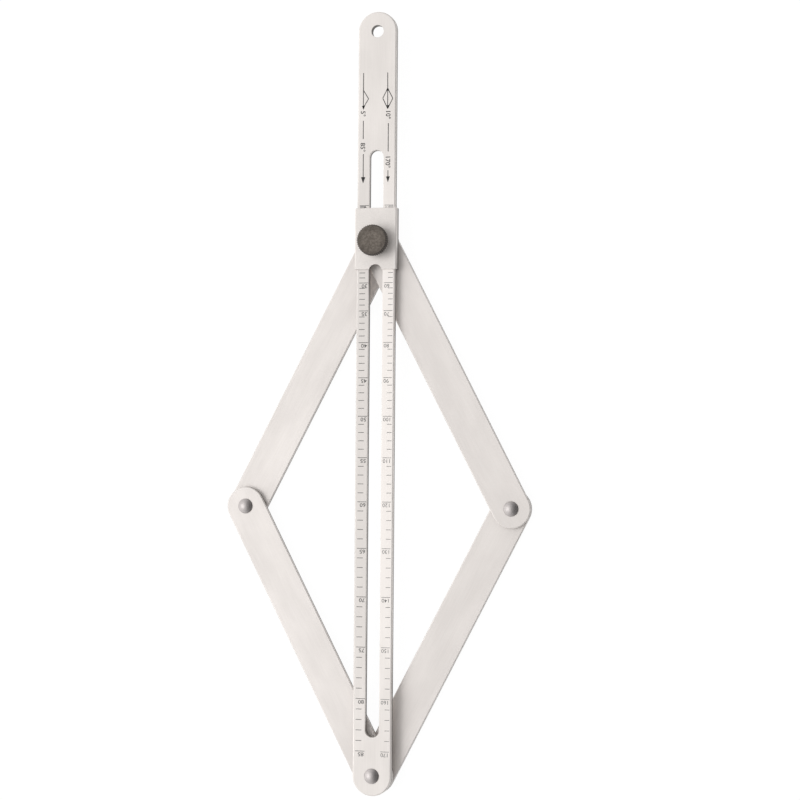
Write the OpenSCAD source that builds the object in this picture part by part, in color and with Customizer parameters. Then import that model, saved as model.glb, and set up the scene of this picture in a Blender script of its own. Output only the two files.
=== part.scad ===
// Multi-angle folding ruler: four equal arms make a rhombus on a slotted, graduated blade.
// The lower arms turn on a rivet at the blade's end. The upper arms meet at a clamp bolt
// that rides in the slot and carries a folded sheet slider, so the blade always halves the
// angle between the arms. The blade points along +Y, and the tool lies on z = 0.

/* [Linkage] */
// Length of each arm from pivot to pivot
arm_length = 125; // [105:1:150]
// Width of each arm
arm_width = 16.2; // [13:0.1:18]
// Thickness of each arm
arm_thickness = 2; // [1.5:0.1:3]
// Angle between the blade and each lower arm as drawn
rest_angle = 27.3; // [12:0.1:75]

/* [Blade] */
// Width of the blade
blade_width = 16.5; // [14:0.1:20]
// Thickness of the blade
blade_thickness = 3; // [2:0.1:4]
// Width of the slot
slot_width = 6; // [5:0.1:7.5]
// Solid blade from the end pivot to the slot
apex_land = 15.9; // [12:0.1:24]
// Slot left over past the closed position of the clamp bolt
slot_spare = 7.8; // [4:0.1:16]
// From the far end of the slot to the hanging hole
head_length = 50.2; // [30:0.1:70]
// Diameter of the hanging hole
hang_hole_d = 5.2; // [4:0.1:7]
// Chamfer along every edge of the blade and the arms
edge_chamfer = 0.55; // [0.2:0.05:0.7]

/* [Pivots] */
// Diameter of the rivet shanks
rivet_d = 4; // [3:0.1:5]
// Diameter of the domed rivet heads
rivet_head_d = 6.3; // [5.6:0.1:8]
// Height of the domed rivet heads
rivet_head_h = 1.3; // [0.8:0.1:1.6]
// Diameter of the closed rivet ends under the arms
rivet_tail_d = 7; // [6:0.1:9]
// How far the closed ends and the bolt head stand out under the arms
foot_height = 0.8; // [0.5:0.1:1.5]
// Radial play of everything that turns on a pin
pivot_play = 0.05; // [0.02:0.01:0.1]
// Diameter of the thin washers between the arms
washer_d = 10; // [9:0.1:12]
// Thickness of the thin washers between the arms
washer_t = 0.3; // [0.2:0.05:0.6]

/* [Slider] */
// Thickness of the folded sheet
sheet_t = 0.6; // [0.4:0.05:0.9]
// Play between the sheet and the faces it slides on
slide_play = 0.1; // [0.05:0.01:0.2]
// From the clamp bolt to the reading edge of the slider
index_offset = 11.6; // [9:0.1:14]
// From the clamp bolt to the other end of the slider
slider_back = 14.2; // [9:0.1:16]
// Width of each lip folded in under the blade
lip_width = 5.2; // [3:0.1:5.5]
// Outer radius of the folds
fold_radius = 0.4; // [0.3:0.05:0.9]
// Width of the round notch in the reading edge
notch_width = 5.5; // [4:0.1:7]
// Depth of the round notch in the reading edge
notch_depth = 2.1; // [1.2:0.1:2.6]

/* [Clamp] */
// Play on each side of the clamp bolt in the slot
slot_play = 0.1; // [0.05:0.01:0.2]
// Diameter of the flat head under the arms
bolt_head_d = 10; // [8.5:0.1:12]
// Diameter of the threaded end
thread_d = 4.8; // [3.5:0.1:5]
// Reach of the threaded end past the washer
thread_reach = 4.6; // [3:0.1:4.8]
// Step from the bolt's shoulder to the slider's face
shoulder_step = 0.1; // [0.05:0.01:0.2]
// Diameter of the washer under the knob
clamp_washer_d = 9.6; // [8:0.1:12]
// Thickness of the washer under the knob
clamp_washer_t = 0.5; // [0.3:0.1:1]
// Diameter of the collar under the knob's ridged disc
collar_d = 9; // [7.5:0.1:9.6]
// Height of the collar
collar_h = 2.4; // [2:0.1:3.5]
// Diameter of the knob
knob_d = 13; // [11:0.1:16]
// Height of the knob's ridged disc
knob_h = 3.8; // [3.6:0.1:6]
// Chamfer of the knob's rims
knob_chamfer = 0.4; // [0.2:0.05:0.6]
// Number of ridges round the knob
knurl_count = 44; // [24:1:72]
// Depth of the grooves between the ridges
knurl_depth = 0.3; // [0.1:0.05:0.4]
// Solid metal left over the thread in the knob
knob_cap = 0.8; // [0.6:0.1:0.9]

/* [Hidden] */
$fn = 72;
steel = [0.84, 0.82, 0.80];
sheet_steel = [0.78, 0.76, 0.74];
rivet_steel = [0.62, 0.62, 0.62];
washer_steel = [0.70, 0.70, 0.69];
knob_grey = [0.38, 0.35, 0.33];
cut = 0.5;

// Heights, from the bench up: low arms, thin washer, high arms, slider lip, blade, slider
low_z = foot_height;
high_z = low_z + arm_thickness + washer_t;
under_gap = sheet_t + 2 * slide_play;
blade_z = high_z + arm_thickness + under_gap;
blade_top = blade_z + blade_thickness;
lip_z = blade_z - slide_play - sheet_t;
sleeve_top = blade_top + slide_play + sheet_t;
knob_z = sleeve_top + clamp_washer_t;

// Places in the plan
bolt_d = slot_width - 2 * slot_play;
pivot_span = 2 * arm_length * cos(rest_angle);
slot_from = apex_land + slot_width / 2;
slot_to = 2 * arm_length + slot_spare;
hang_y = slot_to + slot_width / 2 + head_length;
low_end = max(blade_width, arm_width) / 2;
apex_y = -(hang_y + blade_width / 2 - low_end) / 2;
apex = [0, apex_y];
top_pivot = [0, apex_y + pivot_span];
left_joint = [-arm_length * sin(rest_angle), apex_y + pivot_span / 2];
right_joint = [arm_length * sin(rest_angle), apex_y + pivot_span / 2];
sleeve_half = blade_width / 2 + slide_play + sheet_t;

function running(d) = d + 2 * pivot_play;

// Half of the section of a bar with broken edges, as [distance from the middle, height]
function half_section(half, t, c) =
    [[0, 0], [half - c, 0], [half, c], [half, t - c], [half - c, t], [0, t]];

module at(point, z) {
    translate([point[0], point[1], z]) children();
}

// A flat bar from the origin along +Y, with ends rounded about both end points
module flat_bar(length, width, thickness, chamfer) {
    half = half_section(width / 2, thickness, chamfer);
    translate([0, length, 0]) rotate([90, 0, 0]) linear_extrude(height = length)
        polygon(concat([for (p = half) p],
            [for (i = [len(half) - 2 : -1 : 1]) [-half[i][0], half[i][1]]]));
    for (y = [0, length]) translate([0, y, 0]) rotate_extrude($fn = 96) polygon(half);
}

module pin_hole(point, d, z, height) {
    at(point, z - cut) cylinder(d = d, h = height + 2 * cut);
}

module slot_cut(from, to, width, height) {
    for (y = [from, to]) translate([0, y, 0]) cylinder(d = width, h = height);
    translate([-width / 2, from, 0]) cube([width, to - from, height]);
}

// An arm from one pivot towards an angle, with a hole of its own for each pin
module arm(from, turn, z, hole_here, hole_there) {
    at(from, z) rotate([0, 0, turn]) difference() {
        flat_bar(arm_length, arm_width, arm_thickness, edge_chamfer);
        pin_hole([0, 0], hole_here, 0, arm_thickness);
        pin_hole([0, arm_length], hole_there, 0, arm_thickness);
    }
}

module ring(point, z, outer, inner, height) {
    at(point, z) difference() {
        cylinder(d = outer, h = height);
        translate([0, 0, -cut]) cylinder(d = inner, h = height + 2 * cut);
    }
}

// A low disc with a chamfered lower rim, which the tool stands on
module foot(d, height) {
    rim = min(0.25, height / 2);
    cylinder(d1 = d - 2 * rim, d2 = d, h = rim);
    translate([0, 0, rim]) cylinder(d = d, h = height - rim);
}

// The cap of a sphere, standing on z = 0
module dome(d, h) {
    ball = (d * d / 4 + h * h) / (2 * h);
    intersection() {
        translate([0, 0, h - ball]) sphere(r = ball, $fn = 96);
        cylinder(d = d + 1, h = h + 1);
    }
}

// A rivet from the bench up to the face that its head sits on
module rivet(point, seat_z) {
    at(point, 0) union() {
        foot(rivet_tail_d, low_z);
        cylinder(d = rivet_d, h = seat_z);
        translate([0, 0, seat_z]) dome(rivet_head_d, rivet_head_h);
    }
}

module blade() {
    color(steel) at(apex, blade_z) difference() {
        flat_bar(hang_y, blade_width, blade_thickness, edge_chamfer);
        pin_hole([0, 0], rivet_d, 0, blade_thickness);
        pin_hole([0, hang_y], hang_hole_d, 0, blade_thickness);
        translate([0, 0, -cut])
            slot_cut(slot_from, slot_to, slot_width, blade_thickness + 2 * cut);
    }
}

module apex_rivet() {
    color(rivet_steel) rivet(apex, blade_top);
}

module apex_spacer() {
    color(washer_steel) ring(apex, high_z + arm_thickness, washer_d, rivet_d, under_gap);
}

module apex_washer() {
    color(washer_steel) ring(apex, low_z + arm_thickness, washer_d, rivet_d, washer_t);
}

module lower_left_arm() {
    color(steel) arm(apex, rest_angle, high_z, running(rivet_d), rivet_d);
}

module left_joint_rivet() {
    color(rivet_steel) rivet(left_joint, high_z + arm_thickness);
}

module left_joint_washer() {
    color(washer_steel) ring(left_joint, low_z + arm_thickness, washer_d, rivet_d, washer_t);
}

module lower_right_arm() {
    color(steel) arm(apex, -rest_angle, low_z, running(rivet_d), rivet_d);
}

module right_joint_rivet() {
    color(rivet_steel) rivet(right_joint, high_z + arm_thickness);
}

module right_joint_washer() {
    color(washer_steel) ring(right_joint, low_z + arm_thickness, washer_d, rivet_d, washer_t);
}

module upper_left_arm() {
    color(steel) arm(top_pivot, 180 - rest_angle, low_z, running(bolt_d), running(rivet_d));
}

module upper_right_arm() {
    color(steel) arm(top_pivot, 180 + rest_angle, high_z, running(bolt_d), running(rivet_d));
}

module top_pivot_washer() {
    color(washer_steel) ring(top_pivot, low_z + arm_thickness, washer_d, bolt_d, washer_t);
}

// Section of a box with its corners rounded to r, centred on x, from z0 to z1
module round_section(half, z0, z1, r) {
    for (x = [-half + r, half - r], z = [z0 + r, z1 - r])
        translate([x, z]) circle(r = r, $fn = 48);
    translate([-half + r, z0]) square([2 * (half - r), z1 - z0]);
    translate([-half, z0 + r]) square([2 * half, z1 - z0 - 2 * r]);
}

// One sheet folded round the blade, with the two lips turned in under it
module slider_sleeve() {
    length = index_offset + slider_back;
    inside = sleeve_half - sheet_t;
    notch_r = (notch_width * notch_width / 4 + notch_depth * notch_depth) / (2 * notch_depth);
    color(sheet_steel) at(top_pivot, 0) difference() {
        translate([0, slider_back, 0]) rotate([90, 0, 0]) linear_extrude(height = length)
            difference() {
                round_section(sleeve_half, lip_z, sleeve_top, fold_radius);
                round_section(inside, lip_z + sheet_t, sleeve_top - sheet_t,
                    max(fold_radius - sheet_t, 0.05));
                translate([-(sleeve_half - lip_width), lip_z - cut])
                    square([2 * (sleeve_half - lip_width), sheet_t + 2 * cut]);
            }
        translate([0, 0, blade_top]) cylinder(d = running(bolt_d), h = sheet_t + 2 * cut);
        translate([0, notch_depth - notch_r - index_offset, blade_top])
            cylinder(r = notch_r, h = sheet_t + 2 * cut);
    }
}

// Flat head, plain shank through the arms and the slot, and a thinner threaded end
module clamp_bolt() {
    shoulder = sleeve_top - shoulder_step;
    color(rivet_steel) at(top_pivot, 0) union() {
        foot(bolt_head_d, low_z);
        cylinder(d = bolt_d, h = shoulder);
        cylinder(d = thread_d, h = knob_z + thread_reach);
    }
}

module clamp_washer() {
    color(washer_steel)
        ring(top_pivot, sleeve_top, clamp_washer_d, running(thread_d), clamp_washer_t);
}

// A thumb nut: a ridged disc with a flat closed top, on a plain collar
module clamp_knob() {
    crest = knob_d / 2;
    root = crest - knurl_depth;
    step = 360 / knurl_count;
    rim = [[0, 0], [crest - knob_chamfer, 0], [crest, knob_chamfer],
        [crest, knob_h - knob_chamfer], [crest - knob_chamfer, knob_h], [0, knob_h]];
    color(knob_grey) at(top_pivot, knob_z) difference() {
        union() {
            cylinder(d = collar_d, h = collar_h + 0.5);
            translate([0, 0, collar_h]) intersection() {
                rotate_extrude($fn = 96) polygon(rim);
                linear_extrude(height = knob_h) polygon([for (i = [0 : knurl_count - 1])
                    for (s = [[0, crest + 0.05], [0.5, root]])
                        s[1] * [cos((i + s[0]) * step), sin((i + s[0]) * step)]]);
            }
        }
        translate([0, 0, -cut])
            cylinder(d = running(thread_d), h = collar_h + knob_h - knob_cap + cut);
    }
}

blade();
apex_rivet();
apex_spacer();
apex_washer();
lower_left_arm();
left_joint_rivet();
left_joint_washer();
lower_right_arm();
right_joint_rivet();
right_joint_washer();
upper_left_arm();
upper_right_arm();
top_pivot_washer();
slider_sleeve();
clamp_bolt();
clamp_washer();
clamp_knob();
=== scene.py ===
# %% [markdown]
# # A folding angle ruler, dressed for the studio
#
# The tool is a rhombus of four flat steel arms on a long slotted blade. The CAD
# model already has every piece at its true size and place. This notebook gives
# each piece the softer edges, grain, marks and finish that the real one has.

# %% Load the CAD model
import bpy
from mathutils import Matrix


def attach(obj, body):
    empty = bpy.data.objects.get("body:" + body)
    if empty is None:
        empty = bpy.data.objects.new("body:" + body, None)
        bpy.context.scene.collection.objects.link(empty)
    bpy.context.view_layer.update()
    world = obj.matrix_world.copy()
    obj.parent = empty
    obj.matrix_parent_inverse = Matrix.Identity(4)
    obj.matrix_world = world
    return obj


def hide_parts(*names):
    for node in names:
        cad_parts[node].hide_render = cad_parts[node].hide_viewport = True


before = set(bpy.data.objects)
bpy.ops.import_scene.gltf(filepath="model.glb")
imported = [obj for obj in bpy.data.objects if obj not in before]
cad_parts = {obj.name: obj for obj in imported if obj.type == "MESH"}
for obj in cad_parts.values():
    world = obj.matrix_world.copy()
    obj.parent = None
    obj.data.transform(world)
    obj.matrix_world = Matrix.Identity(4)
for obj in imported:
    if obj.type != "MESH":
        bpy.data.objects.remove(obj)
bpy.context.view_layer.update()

import math
import bmesh
import bpy
from mathutils import Vector

MM = 0.001


# %% [markdown]
# ## Sizes
#
# The CAD model's own numbers are repeated here once, in millimetres, and the
# rest is worked out from them. The heights are a stack: the rivets' feet stand
# on the bench, and each layer lies on the one below it. The gap is what the
# apex spacer fills, and the play is the slider's room round the blade. The four
# pivots follow from the arm's length and from the angle of the open tool.

# %% Sizes and pivots
ARM, ARM_WIDTH, ARM_THICK = 125.0, 16.2, 2.0
BLADE_WIDTH, BLADE_THICK = 16.5, 3.0
OPEN_ANGLE, APEX_Y = 27.3, -155.5
FOOT, WASHER, GAP, SHEET, PLAY, CLAMP_WASHER = 0.8, 0.3, 0.8, 0.6, 0.1, 0.5

low_z = FOOT
low_top = low_z + ARM_THICK
high_z = low_top + WASHER
high_top = high_z + ARM_THICK
blade_z = high_top + GAP
blade_top = blade_z + BLADE_THICK
sleeve_top = blade_top + PLAY + SHEET
knob_z = sleeve_top + CLAMP_WASHER

lean = math.radians(OPEN_ANGLE)
aside, ahead = ARM * math.sin(lean), ARM * math.cos(lean)
apex, top_pivot = (0, APEX_Y), (0, APEX_Y + 2 * ahead)
left_joint, right_joint = (-aside, APEX_Y + ahead), (aside, APEX_Y + ahead)
print("top pivot, mm from the apex:", round(top_pivot[1] - APEX_Y, 2))

# %% [markdown]
# ## Working by hand, in code
#
# An operator acts on whatever is selected, so each step starts with a clean
# selection. `hold` takes one piece in hand. `pick` then selects its faces,
# edges or corners by a test on their place, which is what a click does in the
# window. The CAD model's pieces come in selected, so they are let go first.

# %% Selecting
def hold(piece):
    """Take one piece in hand, in object mode, with nothing else selected."""
    if bpy.context.mode != "OBJECT":
        bpy.ops.object.mode_set(mode="OBJECT")
    bpy.ops.object.select_all(action="DESELECT")
    bpy.context.view_layer.objects.active = piece
    if piece is not None:
        piece.select_set(True)
    return piece


def pick(kind, test):
    """In edit mode, select the faces, edges or corners that pass a test."""
    bpy.ops.mesh.select_mode(type=kind)
    bpy.ops.mesh.select_all(action="DESELECT")
    mesh = bmesh.from_edit_mesh(bpy.context.object.data)
    parts = {"VERT": mesh.verts, "EDGE": mesh.edges, "FACE": mesh.faces}[kind]
    chosen = [part for part in parts if test(part)]
    for part in chosen:
        part.select_set(True)
    mesh.select_flush_mode()
    bmesh.update_edit_mesh(bpy.context.object.data)
    return len(chosen)


print("pieces let go:", len(bpy.context.selected_objects))
hold(None)

# %% [markdown]
# ## Seats and copies
#
# Each piece is modelled at the origin and then moved to its seat. `place`
# writes that place into the mesh, so the object itself stays at the origin,
# unturned, and a pattern that is measured from it lies still on the piece. What
# repeats is modelled once, and `copy_of` gives the twin a mesh of its own.

# %% Placing and copying
def settle():
    """Write the place, turn and size of the piece in hand into its mesh."""
    bpy.ops.object.transform_apply(location=True, rotation=True, scale=True)


def place(piece, point, z=0.0, turn=0.0):
    """Move a piece to its seat, in millimetres and degrees."""
    hold(piece)
    piece.location = (point[0] * MM, point[1] * MM, z * MM)
    piece.rotation_euler = (0, 0, math.radians(turn))
    settle()
    return piece


def copy_of(piece, name):
    """A copy with a mesh of its own."""
    hold(piece)
    bpy.ops.object.duplicate(linked=False)
    twin = bpy.context.object
    twin.name = twin.data.name = name
    return twin


# %% [markdown]
# ## Edit steps that repeat
#
# Three steps come back on nearly every piece: pull the selection straight up,
# turn the faces outwards, and round the selected edges. No real edge is quite
# sharp, and the narrow round is what draws it with a line of light.

# %% Raise, face outwards, soften
def raise_by(height):
    """Extrude what is selected straight up, by millimetres."""
    bpy.ops.mesh.extrude_region_move(TRANSFORM_OT_translate={"value": (0, 0, height * MM)})


def face_outwards():
    """Select all and turn every face outwards."""
    bpy.ops.mesh.select_all(action="SELECT")
    bpy.ops.mesh.normals_make_consistent(inside=False)


def soften(width, segments):
    """Round the selected edges over a width in millimetres."""
    bpy.ops.mesh.bevel(offset=width * MM, offset_type="OFFSET", segments=segments,
                       profile=0.5, affect="EDGES")


# %% [markdown]
# ## Flat bars
#
# The arms and the blade are stamped from flat strip: parallel sides, two round
# ends, and edges that tumbling has softened. One way is to draw the outline as
# a curve and fill it. It is quicker to start from a disc and pull one half of
# it away, because the two round ends then come free and the sides are tangent
# to them. The disc is turned by half a step so that its widest edges lie along
# the bar and the width is exact.

# %% A flat bar from a disc
BAR_SIDES = 96
SAME = 1e-6  # metres: two heights that are nearer than this are one


def flat_bar(name, length, width, thick, soft=0.55):
    """A bar from the origin along +Y, with round ends and softened edges."""
    hold(None)
    half_step = math.pi / BAR_SIDES
    reach = width / 2 / math.cos(half_step)
    bpy.ops.mesh.primitive_circle_add(vertices=BAR_SIDES, radius=reach * MM,
                                      fill_type="NGON", rotation=(0, 0, half_step))
    bar = bpy.context.object
    bar.name = bar.data.name = name
    settle()
    bpy.ops.object.mode_set(mode="EDIT")
    pick("VERT", lambda v: v.co.y > 0)
    bpy.ops.transform.translate(value=(0, length * MM, 0))
    bpy.ops.mesh.select_all(action="SELECT")
    raise_by(thick)
    face_outwards()
    pick("EDGE", lambda e: abs(e.verts[0].co.z - e.verts[1].co.z) < SAME)
    soften(soft, 3)
    bpy.ops.object.mode_set(mode="OBJECT")
    return bar


# %% [markdown]
# ## Holes and slots
#
# A punched hole is a cylinder taken away from the bar. A slot's cutter is the
# same cylinder with its far half pulled away, so its round ends run into its
# straight walls without a step. A Boolean modifier does the cutting and is
# applied at once, so no cutter is left in the scene.

# %% Cutters
CUTTER_SIDES = 64
SPARE = 1  # millimetres that a cutter stands out of the metal


def round_cutter(x, y, diameter, z_from, z_to, sides=CUTTER_SIDES):
    """A plain cylinder for cutting with."""
    hold(None)
    bpy.ops.mesh.primitive_cylinder_add(
        vertices=sides, radius=diameter / 2 * MM, depth=(z_to - z_from) * MM,
        location=(x * MM, y * MM, (z_from + z_to) / 2 * MM))
    return bpy.context.object


def slot_cutter(y_from, y_to, width, z_from, z_to):
    """A long cutter with round ends."""
    cutter = round_cutter(0, y_from, width, z_from, z_to)
    settle()
    bpy.ops.object.mode_set(mode="EDIT")
    bpy.ops.mesh.select_all(action="SELECT")
    half_step, centre = math.pi / CUTTER_SIDES, (0, y_from * MM, 0)
    grow = 1 / math.cos(half_step)
    bpy.ops.transform.resize(value=(grow, grow, 1), center_override=centre)
    bpy.ops.transform.rotate(value=half_step, orient_axis="Z", center_override=centre)
    pick("VERT", lambda v: v.co.y > y_from * MM)
    bpy.ops.transform.translate(value=(0, (y_to - y_from) * MM, 0))
    bpy.ops.object.mode_set(mode="OBJECT")
    return cutter


# %% Cutting
def modify(piece, kind, **settings):
    """Add one modifier, set it up and apply it."""
    hold(piece)
    bpy.ops.object.modifier_add(type=kind)
    modifier = piece.modifiers[-1]
    for key, value in settings.items():
        setattr(modifier, key, value)
    bpy.ops.object.modifier_apply(modifier=modifier.name)
    return piece


def cut(piece, cutter):
    """Take the cutter away from the piece."""
    modify(piece, "BOOLEAN", operation="DIFFERENCE", solver="EXACT", object=cutter)
    bpy.data.objects.remove(cutter, do_unlink=True)
    return piece


# %% [markdown]
# ## Broken rims
#
# A punch leaves a rim that is broken a little by the tumbling, so a hole's two
# rims get a small bevel. That rim is what catches the light. Its edges are
# found by where they lie: at the bar's lower or upper face, and at the hole's
# radius.

# %% Drilling, with the rims broken
ON_RIM = 0.02  # millimetres: how near a corner must lie to count as on a rim


def break_rim(piece, on_rim, heights, soft=0.12):
    """Bevel the rim edges whose both ends pass a test and lie at one of the heights."""
    hold(piece)
    bpy.ops.object.mode_set(mode="EDIT")
    found = pick("EDGE", lambda e: any(
        all(abs(v.co.z - z * MM) < SAME and on_rim(v.co.x / MM, v.co.y / MM) for v in e.verts)
        for z in heights))
    soften(soft, 2)
    bpy.ops.object.mode_set(mode="OBJECT")
    return found


def drill(piece, x, y, diameter, thick):
    """A through hole with both of its rims broken."""
    def on_hole(px, py):
        return abs(math.hypot(px - x, py - y) - diameter / 2) < ON_RIM

    cut(piece, round_cutter(x, y, diameter, -SPARE, thick + SPARE))
    break_rim(piece, on_hole, (0, thick))


# %% [markdown]
# ## Smooth and flat together
#
# The softened edges should shade as rounds while the broad faces stay dead
# flat. Shading everything smooth would spread a false curve over the faces.
# Smoothing by angle keeps the sharp corners sharp, and weighted normals let the
# big faces win where a bevel meets them.

# %% Final shading of a piece
def smooth(piece, angle=38):
    """Shade the rounds smooth and the flats flat."""
    hold(piece)
    bpy.ops.object.shade_smooth_by_angle(angle=math.radians(angle))
    return modify(piece, "WEIGHTED_NORMAL", keep_sharp=True)


# %% [markdown]
# ## The four arms
#
# The two lower arms are alike, and so are the two upper arms, which have a
# wider hole for the clamp bolt. So each kind is modelled once, lying along the
# axis, and copied. One arm of each pair lies low and the other lies over it,
# with a washer between, so that they pass each other. A hole is tight where its
# rivet is closed in the arm, and loose where the arm turns on it.

# %% The arms
TIGHT_HOLE, LOOSE_HOLE, BOLT_HOLE = 4.0, 4.1, 5.9


def arm_kind(name, near_hole, far_hole):
    """An arm from the origin along +Y, with a hole at each end."""
    bar = flat_bar(name, ARM, ARM_WIDTH, ARM_THICK, soft=0.4)
    drill(bar, 0, 0, near_hole, ARM_THICK)
    drill(bar, 0, ARM, far_hole, ARM_THICK)
    return bar


lower_kind = arm_kind("lower_left_bar", LOOSE_HOLE, TIGHT_HOLE)
upper_kind = arm_kind("upper_left_bar", BOLT_HOLE, LOOSE_HOLE)
arms = {"lower_left": lower_kind, "lower_right": copy_of(lower_kind, "lower_right_bar"),
        "upper_left": upper_kind, "upper_right": copy_of(upper_kind, "upper_right_bar")}
for body, pivot, z, turn in (("lower_left", apex, high_z, OPEN_ANGLE),
                             ("lower_right", apex, low_z, -OPEN_ANGLE),
                             ("upper_left", top_pivot, low_z, 180 - OPEN_ANGLE),
                             ("upper_right", top_pivot, high_z, 180 + OPEN_ANGLE)):
    arm = smooth(place(arms[body], pivot, z, turn))
    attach(arm, body)
    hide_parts(body + "_arm")
    print(arm.name, "faces:", len(arm.data.polygons))

# %% [markdown]
# ## The blade
#
# The blade is the same kind of bar, longer and a little wider, with a hanging
# hole at its free end, a rivet hole at the other, and a long slot that the
# clamp bolt runs in. The slot could be drawn as a hole in the outline, but cut
# afterwards it gets its own broken rim. Its walls matter in the picture: one
# catches the light and the other is in the dark.

# %% The blade
SLOT, SLOT_FROM, SLOT_TO = 6.0, 18.9, 257.8
HANG, HANG_HOLE = 311.0, 5.2

blade = flat_bar("blade_bar", HANG, BLADE_WIDTH, BLADE_THICK)
drill(blade, 0, 0, TIGHT_HOLE, BLADE_THICK)
drill(blade, 0, HANG, HANG_HOLE, BLADE_THICK)
cut(blade, slot_cutter(SLOT_FROM, SLOT_TO, SLOT, -SPARE, BLADE_THICK + SPARE))


def on_slot(x, y):
    """True on the slot's outline."""
    on_axis = min(max(y, SLOT_FROM), SLOT_TO)
    return abs(math.hypot(x, y - on_axis) - SLOT / 2) < ON_RIM


print("slot rim edges:", break_rim(blade, on_slot, (0, BLADE_THICK)))
smooth(place(blade, apex, blade_z))
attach(blade, "blade_body")
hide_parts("blade")

# %% [markdown]
# ## Turned pieces
#
# Rivets, washers, the bolt and the knob are all round. A lathe is imitated by
# starting from a disc and extruding it ring by ring up the profile, with each
# ring scaled to its radius. Spinning a profile would do as well, but this way
# the piece is closed at both ends from the first step on.

# %% A lathe
def turned(name, profile, sides=64):
    """A solid of revolution from (radius, height) steps in millimetres, bottom first."""
    hold(None)
    radius, height = profile[0]
    bpy.ops.mesh.primitive_circle_add(vertices=sides, radius=radius * MM, fill_type="NGON",
                                      location=(0, 0, height * MM))
    piece = bpy.context.object
    piece.name = piece.data.name = name
    settle()
    bpy.ops.object.mode_set(mode="EDIT")
    bpy.ops.mesh.select_all(action="SELECT")
    for next_radius, next_height in profile[1:]:
        raise_by(next_height - height)
        grow = next_radius / radius
        bpy.ops.transform.resize(value=(grow, grow, 1), center_override=(0, 0, next_height * MM))
        radius, height = next_radius, next_height
    face_outwards()
    bpy.ops.object.mode_set(mode="OBJECT")
    return piece


# %% [markdown]
# ## Rivets
#
# Each pivot of the arms is a dome-headed rivet: a satin head on top, a plain
# shank, and underneath the end that was pressed flat when the rivet was set.
# The pressed end is the foot that the tool stands on. The head's rim is rolled
# under a little, which gives the fine dark line round a real rivet. A flattened
# ball would give the dome alone. One profile from the bench to the pole gives
# foot, shank and head as one closed piece.

# %% A rivet
HEAD, HEAD_RISE = 6.3, 1.3


def arc_radius(chord, rise):
    """The radius of the arc that rises this far over a chord."""
    return (chord ** 2 / 4 + rise ** 2) / (2 * rise)


def dome_steps(diameter, rise, seat, slices=9):
    """The profile of a low dome, from its rim to just short of its pole."""
    ball = arc_radius(diameter, rise)
    rim_angle = math.asin(diameter / 2 / ball)
    angles = [rim_angle * (1 - i / slices) for i in range(slices)] + [rim_angle * 0.03]
    return [(ball * math.sin(a), seat + rise - ball * (1 - math.cos(a))) for a in angles]


def rivet(name, seat):
    """A rivet from the bench to the face that its head sits on."""
    bore, rim = TIGHT_HOLE / 2, HEAD / 2
    foot = [(2.9, 0), (3.25, 0.04), (3.42, 0.14), (3.5, 0.28), (3.5, 0.7), (3.42, FOOT)]
    shank = [(bore, FOOT), (bore, seat), (2.92, seat), (3.08, seat + 0.05)]
    dome = dome_steps(HEAD, HEAD_RISE, seat)
    dome[0] = (rim, seat + 0.14)
    dome[1] = (rim * 0.965, seat + 0.30)
    return turned(name, foot + shank + dome)


# %% The three rivets
rivets = []
for name, body, node, point, seat in (
        ("apex_rivet_head", "blade_body", "apex_rivet", apex, blade_top),
        ("left_rivet_head", "lower_left", "left_joint_rivet", left_joint, high_top),
        ("right_rivet_head", "lower_right", "right_joint_rivet", right_joint, high_top)):
    piece = smooth(place(rivet(name, seat), point), 50)
    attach(piece, body)
    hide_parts(node)
    rivets.append(piece)
    print(name, "faces:", len(piece.data.polygons))

# %% [markdown]
# ## Washers and the spacer
#
# Thin washers keep the arms apart, and a thicker one at the apex lifts the
# blade to make room for the slider's lips. They hardly show, but from the side
# they are the fine bright lines between the bars. A torus would be as round as
# a tyre. These are stamped, so a washer is a low turned disc with softened
# rims, and its hole is cut.

# %% A washer
WASHER_WIDTH, CLAMP_WIDTH = 10, 9.6
SHANK, THREAD_HOLE = 5.8, 4.9


def washer(name, outer, hole, thick):
    """A flat washer with soft rims, standing on z = 0."""
    soft = min(0.08, thick / 4)
    disc = turned(name, [(outer / 2 - soft, 0), (outer / 2, soft),
                         (outer / 2, thick - soft), (outer / 2 - soft, thick)])
    return cut(disc, round_cutter(0, 0, hole, -SPARE, thick + SPARE))


# %% The washers and the spacer
washers = []
thin = (WASHER_WIDTH, TIGHT_HOLE, WASHER)
thin_on_bolt = (WASHER_WIDTH, SHANK, WASHER)
spacer = (WASHER_WIDTH, TIGHT_HOLE, GAP)
under_knob = (CLAMP_WIDTH, THREAD_HOLE, CLAMP_WASHER)
for name, body, node, point, z, sizes in (
        ("apex_ring", "blade_body", "apex_washer", apex, low_top, thin),
        ("left_ring", "lower_left", "left_joint_washer", left_joint, low_top, thin),
        ("right_ring", "lower_right", "right_joint_washer", right_joint, low_top, thin),
        ("top_ring", "slider", "top_pivot_washer", top_pivot, low_top, thin_on_bolt),
        ("apex_collar", "blade_body", "apex_spacer", apex, high_top, spacer),
        ("knob_ring", "washer", "clamp_washer", top_pivot, sleeve_top, under_knob)):
    piece = smooth(place(washer(name, *sizes), point, z))
    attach(piece, body)
    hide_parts(node)
    washers.append(piece)
    print(name, "outer, hole, thickness, mm:", sizes)

# %% [markdown]
# ## The slider
#
# The slider is one piece of sheet steel, folded round the blade with two lips
# turned in under it. Folding a flat sheet in code is hard to keep exact. It is
# easier to start from the box that the fold encloses: its two ends are opened,
# and a strip is cut out of its underside, which leaves the lips.

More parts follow.
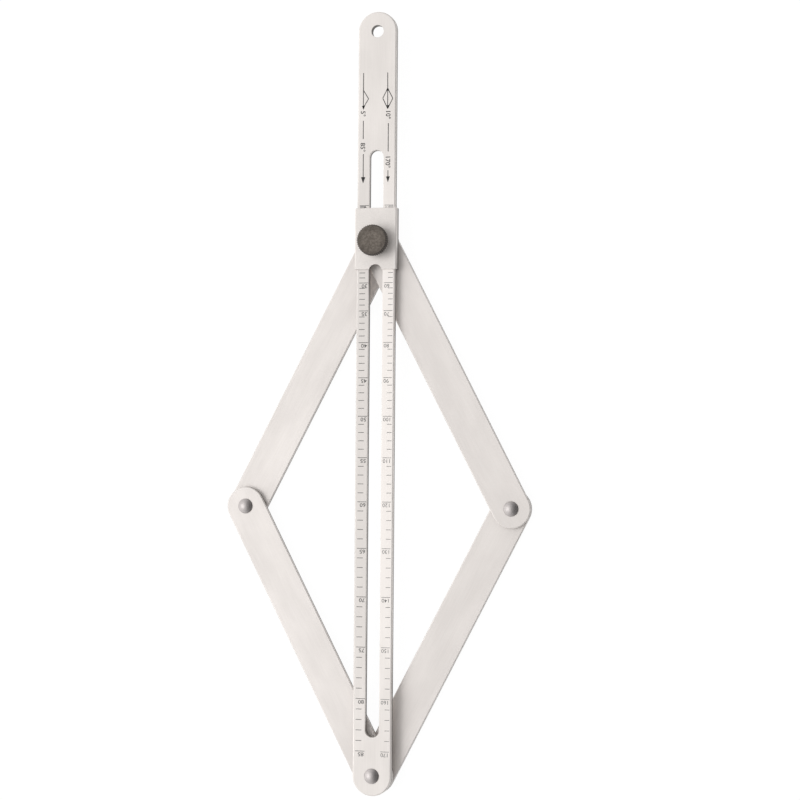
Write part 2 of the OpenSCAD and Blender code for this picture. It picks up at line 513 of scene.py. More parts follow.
# %% Fold the sheet
SLEEVE_HALF = BLADE_WIDTH / 2 + PLAY + SHEET
BACK, FRONT, LIP = 14.2, 11.6, 5.2
FACING = 0.9  # how much of a face's normal must point one way
lip_z = blade_z - PLAY - SHEET
lip_gap = SLEEVE_HALF - LIP

hold(None)
bpy.ops.mesh.primitive_cube_add(size=1)
slider = bpy.context.object
slider.name = slider.data.name = "slider_fold"
slider.scale = (2 * SLEEVE_HALF * MM, (BACK + FRONT) * MM, (sleeve_top - lip_z) * MM)
slider.location = (0, (BACK - FRONT) / 2 * MM, (sleeve_top + lip_z) / 2 * MM)
settle()
bpy.ops.object.mode_set(mode="EDIT")
pick("FACE", lambda f: abs(f.normal.y) > FACING)
bpy.ops.mesh.delete(type="FACE")
for side in (-1, 1):
    bpy.ops.mesh.select_all(action="SELECT")
    bpy.ops.mesh.bisect(plane_co=(side * lip_gap * MM, 0, 0), plane_no=(1, 0, 0))
print("underside strips removed:", pick("FACE", lambda f: f.normal.z < -FACING
      and abs(f.calc_center_median().x) < lip_gap * MM))
bpy.ops.mesh.delete(type="FACE")
bpy.ops.object.mode_set(mode="OBJECT")

# %% [markdown]
# ## The sheet's thickness and its folds
#
# What is left has no thickness yet. Solidify gives it the sheet's, inwards, and
# only then are the four outer folds rounded. Rounded first, the sheet would
# cross itself inside the fold, because the radius is less than its thickness.

# %% Give the sheet its thickness and round its folds
FOLD = 0.4


def on_fold(edge):
    """True for the long edges on the four outer folds."""
    one, two = (v.co for v in edge.verts)
    at_side = abs(abs(one.x) - SLEEVE_HALF * MM) < SAME and abs(two.x - one.x) < SAME
    at_face = min(abs(one.z - z * MM) for z in (lip_z, sleeve_top)) < SAME
    return at_side and at_face and abs(two.y - one.y) > MM


modify(slider, "SOLIDIFY", thickness=SHEET * MM, offset=-1, use_even_offset=True)
bpy.ops.object.mode_set(mode="EDIT")
print("folds:", pick("EDGE", on_fold))
soften(FOLD, 5)
bpy.ops.object.mode_set(mode="OBJECT")

# %% [markdown]
# ## The bolt hole and the notch
#
# The bolt comes up through a hole in the slider's top, and a round notch is
# taken out of the middle of its reading edge, over the slot. The notch is a
# little less than half a circle, so the axis of its cutter lies just outside
# the edge. Last, a Bevel modifier softens every edge that is still sharp. It
# finds them by their angle, which is quicker than picking them one by one.

# %% The bolt hole and the notch
NOTCH_WIDTH, NOTCH_DEPTH, NOTCH_SIDES = 5.5, 2.1, 96

cut(slider, round_cutter(0, 0, BOLT_HOLE, blade_top, sleeve_top + SPARE))
notch_radius = arc_radius(NOTCH_WIDTH, NOTCH_DEPTH)
cut(slider, round_cutter(0, NOTCH_DEPTH - notch_radius - FRONT, 2 * notch_radius,
                         blade_top - PLAY / 2, sleeve_top + SPARE, NOTCH_SIDES))
modify(slider, "BEVEL", width=0.09 * MM, segments=2, limit_method="ANGLE",
       angle_limit=math.radians(50))
smooth(place(slider, top_pivot), 40)
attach(slider, "slider")
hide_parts("slider_sleeve")
print("slider faces:", len(slider.data.polygons))

# %% [markdown]
# ## The clamp bolt
#
# The bolt comes up from below, through both upper arms, the slot and the
# slider. Its flat head is under the arms, its shank is plain, and its thinner
# end is threaded into the knob. The thread is out of sight, so it is turned as
# a row of fine rings rather than as a true helix.

# %% The clamp bolt
CORE, THREAD, RING_STEP = 2.05, 2.4, 0.7

shoulder, tip = sleeve_top - 0.1, knob_z + 4.6
bolt_profile = [(4.6, 0), (4.86, 0.08), (5.0, 0.25), (5.0, 0.66), (4.86, FOOT),
                (SHANK / 2, FOOT), (SHANK / 2, shoulder - 0.12), (2.78, shoulder),
                (2.3, shoulder)]
ring_z = shoulder + 0.1
while ring_z + 0.8 < tip:
    bolt_profile += [(CORE, ring_z), (CORE, ring_z + 0.1),
                     (THREAD, ring_z + 0.35), (THREAD, ring_z + 0.45)]
    ring_z += RING_STEP
bolt_profile += [(CORE, ring_z), (CORE, tip - 0.3), (1.8, tip)]
bolt = smooth(place(turned("bolt", bolt_profile), top_pivot), 30)
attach(bolt, "slider")
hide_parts("clamp_bolt")
print("bolt, length in mm:", round(tip, 2), "profile steps:", len(bolt_profile))

# %% [markdown]
# ## The knob
#
# A thumb nut: a ridged disc on a plain collar, with a dark, blasted finish. The
# collar lifts the disc, so that fingers get under it. It is turned first, with
# a soft top edge, and with two corners round its rim for each ridge to come.

# %% Turn the knob
KNOB, DISC, COLLAR, RIDGES = 13.0, 3.8, 2.4, 44

crest = KNOB / 2
collar = [(4.3, 0), (4.44, 0.06), (4.5, 0.2), (4.5, COLLAR - 0.15), (4.65, COLLAR)]
disc = [(crest - 0.55, 0), (crest - 0.3, 0.08), (crest - 0.12, 0.2), (crest, 0.42),
        (crest, 3.3), (crest - 0.12, 3.54), (crest - 0.3, 3.7), (crest - 0.55, DISC)]
knob = turned("knob_body", collar + [(r, z + COLLAR) for r, z in disc], 2 * RIDGES)
print("knob height, mm:", round(COLLAR + DISC, 2))

# %% [markdown]
# ## The ridges of the knob
#
# Every second corner of the rim is pulled in, ring by ring and less near the
# top and bottom, which leaves ridges that fade out where the rim turns over. A
# real knurl is pressed in and fades in the same way. Cutting the grooves one by
# one would be slow and would leave them with hard ends.

# %% The ridges and the bore
CAP = 0.8  # millimetres of metal over the end of the bore
corner_step = math.pi / RIDGES


def groove_corner(v, radius):
    """True for every second corner of the rings with this radius."""
    number = round((math.atan2(v.co.y, v.co.x) - 0.25 * corner_step) / corner_step)
    return number % 2 == 1 and abs(math.hypot(v.co.x, v.co.y) / MM - radius) < ON_RIM


hold(knob)
bpy.ops.object.mode_set(mode="EDIT")
for ring_radius, depth in ((crest, 0.42), (crest - 0.12, 0.34), (crest - 0.3, 0.2)):
    print("groove corners:", pick("VERT", lambda v: groove_corner(v, ring_radius)))
    pull = (ring_radius - depth) / ring_radius
    bpy.ops.transform.resize(value=(pull, pull, 1), center_override=(0, 0, 0))
bpy.ops.object.mode_set(mode="OBJECT")
cut(knob, round_cutter(0, 0, THREAD_HOLE, -SPARE, COLLAR + DISC - CAP))
smooth(place(knob, top_pivot, knob_z), 35)
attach(knob, "knob")
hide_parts("clamp_knob")
print("knob faces:", len(knob.data.polygons))

# %% [markdown]
# ## Ink on the blade
#
# The marks are etched and filled with dark ink. They could be painted in the
# material, but as thin pieces of their own they stay sharp at any distance.
# Each mark is a flat strip, a hair thicker than nothing, that lies on the
# blade's face. The strips of a row are joined, and then raised together.

# %% Strips
INK_LOW, INK_HIGH = blade_top - 0.012, blade_top + 0.014


def strip(x_from, y_from, x_to, y_to, width):
    """A thin flat line between two points on the blade, in millimetres from the apex."""
    hold(None)
    length = math.hypot(x_to - x_from, y_to - y_from)
    middle_x, middle_y = (x_from + x_to) / 2, (y_from + y_to) / 2 + APEX_Y
    bpy.ops.mesh.primitive_plane_add(size=1)
    line = bpy.context.object
    line.scale = (length * MM, width * MM, 1)
    line.rotation_euler = (0, 0, math.atan2(y_to - y_from, x_to - x_from))
    line.location = (middle_x * MM, middle_y * MM, INK_LOW * MM)
    settle()
    return line


# %% Joining the strips
def ink(name, marks):
    """Join flat marks into one piece and give it the thickness of the ink."""
    hold(marks[0])
    for mark in marks:
        mark.select_set(True)
    bpy.ops.object.join()
    piece = bpy.context.object
    piece.name = piece.data.name = name
    bpy.ops.object.mode_set(mode="EDIT")
    bpy.ops.mesh.select_all(action="SELECT")
    bpy.ops.mesh.beautify_fill(angle_limit=math.pi)
    raise_by(INK_HIGH - INK_LOW)
    face_outwards()
    bpy.ops.object.mode_set(mode="OBJECT")
    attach(piece, "blade_body")
    print(name, "marks:", len(marks))
    return piece


# %% [markdown]
# ## The scale's ticks
#
# The places of the ticks follow the linkage. With the arms at an angle to the
# blade, the bolt stands at twice the arm's length times the cosine of that
# angle, and the slider's reading edge is a fixed distance short of it. The
# ticks could be measured off a picture one by one, but the formula is exact.

# %% Ticks
FIRST, LAST, LONG_EACH = 5, 85, 5  # degrees


def reading(angle):
    """Where the reading edge stands from the apex, at an arm's angle to the blade."""
    return 2 * ARM * math.cos(math.radians(angle)) - FRONT


def tick_row(name, long_reach, short_reach, width):
    """One side's ticks: one for each degree, with a long one at each five."""
    marks = []
    for angle in range(FIRST, LAST + 1):
        y = reading(angle)
        x_from, x_to = short_reach if angle % LONG_EACH else long_reach
        marks.append(strip(x_from, y, x_to, y, width))
    return ink(name, marks)


left_ticks = tick_row("left_ticks", (-7.1, -3.1), (-7.0, -4.5), 0.27)
right_ticks = tick_row("right_ticks", (3.6, 7.4), (5.4, 7.45), 0.24)
print("45 degrees reads at", round(reading(45), 2), "mm from the apex")

# %% [markdown]
# ## Figures
#
# The left figures give the angle of one arm, the right ones the angle between
# the arms, so they are twice as large. They stand on their heads in the
# picture because the tool is read from the other end. Blender's own font is
# plain enough once it is widened a little. The figures are made a mesh before
# they are placed.

# %% Writing figures
FIGURE, REACH_FIGURE = 1.65, 2.05  # millimetres high
STROKE = 0.03  # added all round a figure, to make it bolder
FONT_HEIGHT = 0.73  # a figure with its stroke, as a part of the font's size
UNDER_TICK = 0.58  # from a tick down to the foot of its figure


def written(text, height, stroke=0.0, align="CENTER", wide=1.0):
    """A line of figures of a given height at the origin, as a flat mesh."""
    hold(None)
    bpy.ops.object.text_add()
    line = bpy.context.object
    line.data.body, line.data.align_x = text, align
    line.data.size = height / FONT_HEIGHT * MM
    line.data.resolution_u = 3
    line.data.offset = stroke * MM
    line.scale.x = wide
    bpy.ops.object.convert(target="MESH")
    return bpy.context.object


def figure(text, x, y, height=FIGURE, turn=180, **style):
    """Figures on the blade, x and y in millimetres from the apex."""
    return place(written(text, height, **style), (x, y + APEX_Y), INK_LOW, turn)


trial = written("8", FIGURE, STROKE)
print("figure height, mm:", round(trial.dimensions.y / MM, 3))
bpy.data.objects.remove(trial, do_unlink=True)

# %% The scale's figures
left_figures, right_figures = [], []
for angle in range(FIRST, LAST + 1, LONG_EACH):
    y = reading(angle) - UNDER_TICK
    left_figures.append(figure(str(angle), -4.75, y, stroke=STROKE, wide=1.15))
    right_figures.append(figure(str(2 * angle), 3.7, y, align="RIGHT", stroke=0.01, wide=1.05))
left_numbers = ink("left_numbers", left_figures)
right_numbers = ink("right_numbers", right_figures)

# %% [markdown]
# ## Signs at the head of the blade
#
# Over each scale a small sign shows which angle it gives: half of the rhombus
# for one arm's angle, the whole of it for the angle between the arms. Below
# each sign a plain row of numbers gives the scale's reach, and an arrow points
# to the scale. All of it is strips and figures like the scale's own, with
# triangles for the arrow heads.

# %% Arrow heads
FINE = 0.33  # the width of a sign's lines


def arrow_head(x, y_tip, y_base, half_width):
    """A filled triangle that points along the blade."""
    hold(None)
    bpy.ops.mesh.primitive_circle_add(vertices=3, radius=1, fill_type="NGON")
    triangle = bpy.context.object
    corners = [(x, y_tip), (x - half_width, y_base), (x + half_width, y_base)]
    for v, (corner_x, corner_y) in zip(triangle.data.vertices, corners):
        v.co = (corner_x * MM, (corner_y + APEX_Y) * MM, INK_LOW * MM)
    return triangle


def reach_figure(text, x, y, align):
    """A larger figure that reads down the blade."""
    return figure(text, x, y, REACH_FIGURE, -90, align=align, stroke=STROKE)


# %% Signs
left_sign = [
    strip(-5.9, 293.5, -5.9, 278.4, FINE),
    strip(-5.9, 286.2, -3.66, 282.5, FINE), strip(-3.66, 282.5, -5.9, 278.9, FINE),
    arrow_head(-5.85, 277.9, 279.6, 0.7)]
right_sign = [
    strip(4.55, 293.3, 4.6, 286.6, FINE), strip(4.6, 285.6, 4.65, 279.2, FINE),
    strip(4.6, 286.6, 6.83, 282.4, FINE), strip(6.83, 282.4, 4.66, 278.1, FINE),
    strip(4.66, 278.1, 2.5, 282.5, FINE), strip(2.5, 282.5, 4.6, 286.6, FINE),
    arrow_head(4.6, 287.2, 285.6, 0.72), arrow_head(4.66, 277.8, 279.5, 0.72)]
left_arrow = [strip(-5.75, 259.2, -5.75, 248.8, FINE), arrow_head(-5.75, 246.8, 249.5, 0.95)]
right_arrow = [strip(4.98, 252.1, 4.98, 249.0, FINE), arrow_head(4.98, 247.0, 249.5, 0.85)]
left_reach = [
    reach_figure("5°", -6.95, 277.5, "LEFT"), strip(-5.85, 273.3, -5.85, 265.6, FINE),
    reach_figure("85°", -6.95, 260.1, "RIGHT")]
right_reach = [
    reach_figure("10°", 3.95, 277.5, "LEFT"), strip(5.0, 271.9, 5.0, 260.0, FINE),
    reach_figure("170°", 3.95, 253.0, "RIGHT")]
signs = [ink("left_sign", left_sign), ink("right_sign", right_sign),
         ink("left_arrow", left_arrow), ink("right_arrow", right_arrow),
         ink("left_reach", left_reach), ink("right_reach", right_reach)]

# %% [markdown]
# ## Writing materials as sums
#
# A finish is easier to read as arithmetic than as a page of wires. `Value`
# wraps one socket of a node, and adding, subtracting or multiplying values
# adds the Math nodes and links them. It knows only the signs that are used
# below, and `work` covers the few operations that have no sign.

# %% Values
class Value:
    """One socket of a node tree. Arithmetic on it adds Math nodes."""

    def __init__(self, wires, socket):
        self.wires, self.socket = wires, socket

    def work(self, operation, other=0.0):
        """This value, and another one where it is needed, through a Math node."""
        return self.wires.maths(operation, self, other)

    def __add__(self, other):
        return self.work("ADD", other)

    def __sub__(self, other):
        return self.work("SUBTRACT", other)

    def __rsub__(self, other):
        return self.wires.maths("SUBTRACT", other, self)

    def __mul__(self, other):
        return self.work("MULTIPLY", other)

    def __abs__(self):
        return self.work("ABSOLUTE")

    __radd__, __rmul__ = __add__, __mul__


# %% [markdown]
# ## Any other node
#
# `Wires` is a node tree. Its `node` method adds any node: the settings first,
# because they can change which sockets there are, and then what goes into the
# sockets. `band` and `fade` make masks with soft ends, and `apart` gives the
# three numbers of a vector.

# %% Wires
class Wires:
    """A node tree, and one method that adds any node to it."""

    def __init__(self, tree):
        self.tree = tree

    def node(self, kind, settings=None, inputs=None, out=0):
        """Add a node, set it up, fill its sockets, and give one output as a value."""
        made = self.tree.nodes.new(kind)
        for key, value in (settings or {}).items():
            setattr(made, key, value)
        for key, value in (inputs or {}).items():
            self.put(made.inputs[key], value)
        return Value(self, made.outputs[out])

    def put(self, socket, value):
        """Link a value to a socket, or write a plain number or colour on it."""
        if isinstance(value, Value):
            self.tree.links.new(value.socket, socket)
        else:
            socket.default_value = value

    def maths(self, operation, one, other):
        """One Math node on two values or numbers."""
        return self.node("ShaderNodeMath", {"operation": operation}, {0: one, 1: other})

    def rays(self):
        """Three masks: camera rays, glossy rays and transmission rays."""
        return [self.node("ShaderNodeLightPath", out=name) for name in
                ("Is Camera Ray", "Is Glossy Ray", "Is Transmission Ray")]

    def band(self, value, low, high, to_low=0.0, to_high=1.0):
        """Stretch part of a value's range, with soft ends."""
        return self.node(
            "ShaderNodeMapRange", {"interpolation_type": "SMOOTHSTEP", "clamp": True},
            {"Value": value, "From Min": low, "From Max": high,
             "To Min": to_low, "To Max": to_high})

    def fade(self, value, low, high):
        """A mask that is full below one number and none above the other."""
        return self.band(value, low, high, 1.0, 0.0)

    def apart(self, vector):
        """The three numbers of a vector."""
        first = self.node("ShaderNodeSeparateXYZ", None, {0: vector})
        return [Value(self, output) for output in first.socket.node.outputs]


# %% [markdown]
# ## A finish
#
# `Finish` is a material on the Principled shader. Its patterns are noise,
# measured in millimetres from the object's own origin, so they have their true
# size and stay on the piece when the tool opens. Photographs of real steel
# would be another way, but noise never repeats and stays sharp close up.

# %% Finishes
class Finish(Wires):
    """A material on the Principled shader, built from values."""

    def __init__(self, name, **fixed):
        self.material = bpy.data.materials.new(name)
        self.material.use_nodes = True
        super().__init__(self.material.node_tree)
        self.shader = self.tree.nodes["Principled BSDF"]
        self.set(**fixed)

    def set(self, **values):
        """Fill sockets of the shader, which are named with _ for a space."""
        for socket, value in values.items():
            self.put(self.shader.inputs[socket.replace("_", " ")], value)

    def place_of(self, turn=0.0, size=(1, 1, 1), centre=(0, 0)):
        """Where a point lies from a centre, in steps of a size in millimetres, and turned."""
        where = self.node("ShaderNodeTexCoord", out="Object")
        return self.node("ShaderNodeMapping", {"vector_type": "TEXTURE"}, {
            "Vector": where, "Location": (centre[0] * MM, centre[1] * MM, 0),
            "Rotation": (0, 0, math.radians(turn)), "Scale": tuple(s * MM for s in size)})

    def noise(self, size, detail, rough, turn=0.0):
        """Noise from about 0 to 1, with patches of a size in millimetres."""
        return self.node("ShaderNodeTexNoise", None, {
            "Vector": self.place_of(turn, size), "Scale": 1.0, "Detail": detail,
            "Roughness": rough})

    def blend(self, factor, one, two):
        """Mix two colours."""
        return self.node("ShaderNodeMix", {"data_type": "RGBA"},
                         {0: factor, 6: one, 7: two}, out=2)

    def bump(self, height, strength, distance):
        """A surface that is lifted where a value is high, by up to some millimetres."""
        return self.node("ShaderNodeBump", None, {
            "Height": height, "Strength": strength, "Distance": distance * MM})

    def low_wall(self, z_dark, z_light):
        """A mask for upright walls, full below one height and none above the other."""
        upright = 1 - abs(self.apart(self.node("ShaderNodeNewGeometry", out="Normal"))[2])
        height = self.apart(self.place_of())[2]
        return self.band(upright, 0.35, 0.7) * self.fade(height, z_dark, z_light)


# %% Dressing a piece
def dress(piece, finish):
    """Give a piece one finish all over."""
    piece.data.materials.clear()
    piece.data.materials.append(finish.material)


def shade(tint, part=1.0):
    """A colour with its alpha, darkened to a part of itself."""
    return tuple(c * part for c in tint) + (1,)


# %% [markdown]
# ## Painted light and shade on the blade
#
# The blade's two rails aren't lit alike. The right one is painted brighter
# between its ends, as painted light, and the left one is painted duller, as
# painted shade. The wall of the hanging hole is painted dark nearly to its top,
# as painted shade. This could be painted by hand, but a mask made from the
# place on the blade is simpler and fades out softly.

# %% Painted rail light and hole shade
RAIL_LIGHT_FROM, RAIL_LIGHT_TO = (-160, -60), (45, 125)  # where the painted rail light comes in and goes out
RAIL = (1.5, 3.2)  # from the blade's middle line
HOLE_WALL = (7.0, 8.0)  # a little over the square of the hole's radius


def soiled_hole(steel):
    """A mask for painted shade on the wall of the hanging hole, almost to its top."""
    x, y, _ = steel.apart(steel.place_of(centre=(0, APEX_Y + HANG)))
    return (steel.fade(x * x + y * y, *HOLE_WALL)
            * steel.low_wall(blade_top - 0.15, blade_top - 0.05))


def worn_rails(steel, tint, colour):
    """Paint the right rail lighter and the left one duller, as painted light and shade."""
    across, along, _ = steel.apart(steel.place_of())
    middle = steel.band(along, *RAIL_LIGHT_FROM) * steel.fade(along, *RAIL_LIGHT_TO)
    colour = steel.blend(middle * steel.band(across, *RAIL) * 0.85, colour, shade(tint, 1.10))
    left = steel.fade(across, -RAIL[1], -RAIL[0])
    return steel.blend(middle * left * 0.75, colour, shade(tint, 0.84))


# %% [markdown]
# ## Satin steel for the bars
#
# Up close the bars have a fine grain along their length, left by the belt that
# brushed the strip, and a cloudier unevenness from tumbling. Both are faint.
# The grain could be fine modelled lines, but thousands of them. It is noise
# instead, stretched nearly a hundredfold along the bar, so the pattern has to
# be turned with each bar. It moves the colour a little, the roughness more, and
# lifts the surface by a few microns. A few dull specks come from use.
#
# A stamped bar's walls aren't like its faces. The punch slides through the
# upper part of the thickness and leaves it bright, and the lower part tears,
# which leaves it rough. That lower part is also painted dark, as painted
# shade, and the dark line is what draws each bar's edge in the picture. It is
# a mask of two things: the wall stands upright, and the point lies low on it.

# %% Satin steel
BAR_TINT = (0.79, 0.745, 0.715)
BLADE_TINT = (0.82, 0.775, 0.742)
TORN_AND_SHADED_TO, UNSHADED_FROM = 0.38, 0.76  # heights on a wall, as parts of the thickness


def satin_steel(name, turn, tint, foot, thick, rail_light_and_hole_shade=False):
    """Brushed steel with its grain along a bar, and torn walls with painted shade low on them.
    """
    steel = Finish(name, Metallic=0.5, Specular_IOR_Level=0.5)
    grain = steel.noise((0.16, 14, 0.16), 4.0, 0.6, turn)
    clouds = steel.noise((9, 22, 9), 3.0, 0.5, turn)
    specks = steel.band(steel.noise((0.5, 0.8, 0.5), 2.0, 0.5, turn), 0.70, 0.78)
    torn_and_shaded = steel.low_wall(foot + TORN_AND_SHADED_TO * thick, foot + UNSHADED_FROM * thick)
    uneven = steel.band(grain, 0.25, 0.75) * 0.35 + steel.band(clouds, 0.3, 0.7) * 0.4
    colour = steel.blend(uneven, shade(tint), shade(tint, 0.88))
    colour = steel.blend(specks * 0.10, colour, shade(tint, 0.55))
    # Painted light on the rails and painted shade in the hanging hole.
    if rail_light_and_hole_shade:
        torn_and_shaded = torn_and_shaded.work("MAXIMUM", soiled_hole(steel))
        colour = worn_rails(steel, tint, colour)
    # Painted shade: the torn lower part of each wall is darkened.
    colour = steel.blend(torn_and_shaded * 0.85, colour, shade(tint, 0.2))
    rough = (0.42 + steel.band(grain, 0.2, 0.8) * 0.10 + steel.band(clouds, 0.3, 0.7) * 0.05
             + torn_and_shaded * 0.2)
    steel.set(Base_Color=colour, Roughness=rough,
              Normal=steel.bump(grain + clouds * 0.5, 0.25, 0.012))
    print(name, "nodes:", len(steel.tree.nodes))
    return steel


# %% Dress the blade and the arms
dress(blade, satin_steel("blade_steel", 0, BLADE_TINT, blade_z, BLADE_THICK, rail_light_and_hole_shade=True))
for body, turn, z in (("lower_left", OPEN_ANGLE, high_z), ("upper_left", -OPEN_ANGLE, low_z),
                      ("lower_right", -OPEN_ANGLE, low_z), ("upper_right", OPEN_ANGLE, high_z)):
    dress(arms[body], satin_steel(body + "_steel", turn, BAR_TINT, z, ARM_THICK))

# %% [markdown]
# ## Sheet, rivet and washer steel
#
# The slider is the same steel in sheet form, a touch duller. Rivet heads are
# barrel-finished: no direction, just a fine pebble. The washers are plain
# bright stampings. One recipe serves all three, because they differ only in
# tint, gloss and the size of the pebble.

# %% Sheet, rivets and washers
SHEET_TINT = (0.815, 0.77, 0.738)
RIVET_TINT = (0.57, 0.535, 0.525)
WASHER_TINT = (0.60, 0.59, 0.57)


def plain_steel(name, tint, rough, pebble, metal, shaded_walls=None):
    """Steel without a direction: fine pebble, soft clouds, and painted shade low on the walls.
    """
    steel = Finish(name, Metallic=metal, Specular_IOR_Level=0.5)
    grit = steel.noise((pebble,) * 3, 3.0, 0.6)
    clouds = steel.noise((5, 5, 5), 2.0, 0.5)
    uneven = steel.band(grit, 0.3, 0.7) * 0.4 + steel.band(clouds, 0.3, 0.7) * 0.3
    colour = steel.blend(uneven, shade(tint), shade(tint, 0.86))
    if shaded_walls:
        # Painted shade low on the upright walls.
        colour = steel.blend(steel.low_wall(*shaded_walls) * 0.8, colour, shade(tint, 0.2))
    steel.set(Base_Color=colour, Roughness=rough + steel.band(grit, 0.2, 0.8) * 0.12,
              Normal=steel.bump(grit, 0.3, pebble * 0.05))
    print(name, "nodes:", len(steel.tree.nodes))
    return steel


# Painted shade low on the slider's walls, between these two heights.
dress(slider, plain_steel("slider_steel", SHEET_TINT, 0.44, 0.5, 0.55,
                          (blade_z + 0.8, blade_top)))
rivet_finish = plain_steel("rivet_steel", RIVET_TINT, 0.44, 0.45, 0.95)
washer_finish = plain_steel("washer_steel", WASHER_TINT, 0.35, 0.4, 0.9)
for piece in rivets + [bolt]:
    dress(piece, rivet_finish)
for piece in washers:
    dress(piece, washer_finish)

# %% [markdown]
# ## The knob's dark coat
#
# The knob is blasted and blackened. The blasting leaves a speckle of tiny pits
# with brighter ridges between them, which is two scales of noise and shows as
# colour, gloss and bump. Towards the rim the top gets darker. Fingers polish
# the crests of the ridges lighter, and the grooves between them are painted
# nearly black as painted shade. So the rim's colour follows the angle round
# the knob's axis, in step with the ridges of the mesh.

# %% The knob's finish
PIT, BETWEEN_PITS = (0.083, 0.067, 0.054, 1), (0.200, 0.169, 0.141, 1)
OUTER_COAT = (0.060, 0.048, 0.038, 1)
SHADED_GROOVE, POLISHED = (0.012, 0.010, 0.008, 1), (0.112, 0.093, 0.079, 1)

coat = Finish("knob_coat", Metallic=0.0, Specular_IOR_Level=0.4)
pits = coat.noise((0.95,) * 3, 4.0, 0.7)
patches = coat.noise((3.5,) * 3, 2.0, 0.5)
speckle = coat.band(pits, 0.40, 0.64)
across, along, _ = coat.apart(coat.place_of(centre=top_pivot))
from_axis = (across * across + along * along).work("SQRT")
ridge = 0.5 + 0.5 * (along.work("ARCTAN2", across) * RIDGES).work("COSINE")
coat_colour = coat.blend(speckle * 0.7 + coat.band(patches, 0.3, 0.7) * 0.3, PIT, BETWEEN_PITS)
coat_colour = coat.blend(coat.band(from_axis, 3.2, 5.2) * 0.34 + 0.12, coat_colour, OUTER_COAT)
rim = coat.band(from_axis, crest - 0.75, crest - 0.45)
# Painted shade in the grooves, and polished, lighter crests.
coat_colour = coat.blend(rim * 0.8, coat_colour, coat.blend(ridge, SHADED_GROOVE, POLISHED))
coat.set(Base_Color=coat_colour, Roughness=0.62 - speckle * 0.14,
         Normal=coat.bump(pits, 0.6, 0.08))
dress(knob, coat)
print("knob_coat nodes:", len(coat.tree.nodes))

# %% [markdown]
# ## Ink
#
# The etched marks are dark grey rather than black, and thinner in places where
# the fill has worn, so a noise mixes a fresh tone and a worn one. The left row
# is a little darker than the right one, and the signs are nearly black.

# %% Ink
FRESH, WORN = (1, 0.97, 0.95), (2.2, 2.15, 2.1)


def worn_ink(name, tone):
    """Dark fill with a little wear."""
    fill = Finish(name, Metallic=0.0, Roughness=0.6)
    wear = fill.band(fill.noise((0.5, 0.5, 0.5), 2.0, 0.5), 0.35, 0.75)
    fill.set(Base_Color=fill.blend(wear, shade(FRESH, tone), shade(WORN, tone)))
    return fill


for name, tone, pieces in (("left_ink", 0.10, (left_ticks, left_numbers)),
                           ("right_ink", 0.16, (right_ticks, right_numbers)),
                           ("sign_ink", 0.02, signs)):
    fill = worn_ink(name, tone)
    for piece in pieces:
        dress(piece, fill)
    print(name, "pieces:", len(pieces))

# %% [markdown]
# ## Floor and background
#
# The tool lies on a sheet of white paper that runs out of the picture. The
# camera should see white, while the light on the tool stays at a plain level.
# So the floor is partly a white glow that only camera, glossy and transmission
# rays see, and partly a real surface, which keeps a faint shadow.

# %% Floor
FLOOR = 6  # metres
PAPER, GLOW = (0.80, 0.80, 0.80, 1), 1.05

hold(None)
bpy.ops.mesh.primitive_plane_add(size=FLOOR)
floor = bpy.context.object
floor.name = floor.data.name = "floor"
paper = Finish("paper", Roughness=1.0, Specular_IOR_Level=0.0, Base_Color=PAPER)
glow = paper.node("ShaderNodeEmission", None, {"Color": (1, 1, 1, 1), "Strength": GLOW})
camera_ray, glossy_ray, clear_ray = paper.rays()
glowing_paper = paper.node("ShaderNodeMixShader", None, {
    0: (camera_ray + glossy_ray + clear_ray) * 0.9,
    1: Value(paper, paper.shader.outputs[0]), 2: glow})
paper.put(paper.tree.nodes["Material Output"].inputs["Surface"], glowing_paper)
dress(floor, paper)
print("floor, metres across:", FLOOR)

# %% [markdown]
# ## The room
#
# A white room all round would make the metal look flat. So what the metal
# mirrors is white on the left and falls off to grey on the right, as beside a
# window. The plain light of the room falls off in the same way, but less. A set
# of lamps could do this too, but a sum over the room's directions has no hot
# spots and is quick to tune.

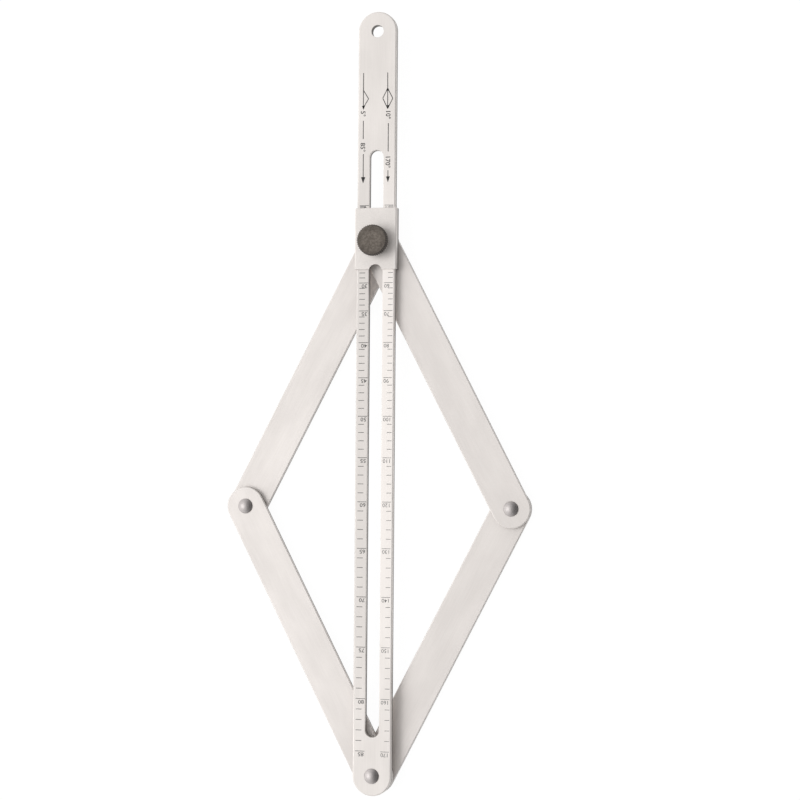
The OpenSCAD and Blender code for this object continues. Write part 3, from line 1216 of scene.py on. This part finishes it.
# %% Room
world = bpy.data.worlds.new("room")
bpy.context.scene.world = world
world.use_nodes = True
room = Wires(world.node_tree)
camera_ray, glossy_ray, clear_ray = room.rays()
toward_right = room.apart(room.node("ShaderNodeTexCoord", out="Generated"))[0]
mirrored = room.band(toward_right, -0.55, 0.5, 1.05, 0.05)
plain = room.band(toward_right, -0.9, 0.9, 1.05, 0.63)
level = (camera_ray + clear_ray + glossy_ray * mirrored
         + (1 - camera_ray - clear_ray - glossy_ray) * plain)
background = room.tree.nodes["Background"]
room.put(background.inputs["Color"], (1, 1, 1, 1))
room.put(background.inputs["Strength"], level)
print("room nodes:", len(room.tree.nodes))

# %% [markdown]
# ## The lamp
#
# One large soft lamp stands to the left, so shadows fall to the right, as thin
# soft bands beside the blade and the knob. A small lamp would draw them hard.

# %% Lamp
LAMP_AT, LAMP_SIZE = (-2.7, -0.15, 3.1), 2.7  # metres
WATTS = 48

hold(None)
bpy.ops.object.light_add(type="AREA", location=LAMP_AT)
window = bpy.context.object
window.name = "window"
window.data.shape, window.data.size, window.data.energy = "SQUARE", LAMP_SIZE, WATTS
window.rotation_euler = (-Vector(LAMP_AT)).to_track_quat("-Z", "Y").to_euler()
print("lamp, metres away:", round(Vector(LAMP_AT).length, 2))

# %% [markdown]
# ## Camera
#
# The picture looks down on the tool from a little to the right, so the right
# walls of the bars just show. The place, tilt and lens could be set by eye. It
# is closer to work them out from the tool's own known points: the pivots, the
# hanging hole and the ends of the slot.

# %% Camera and view
CAMERA_AT, CAMERA_TILT = (0.20981, -0.03223, 0.8067), (2.38, 13.979, 0.456)
SENSOR, LENS = 36, 89.07

hold(None)
bpy.ops.object.camera_add(location=CAMERA_AT,
                          rotation=[math.radians(a) for a in CAMERA_TILT])
camera = bpy.context.object
camera.data.sensor_width, camera.data.lens = SENSOR, LENS
camera.data.clip_start, camera.data.clip_end = 0.05, 20
bpy.context.scene.camera = camera
bpy.context.scene.view_settings.view_transform = "Standard"
print("lens, mm:", LENS)
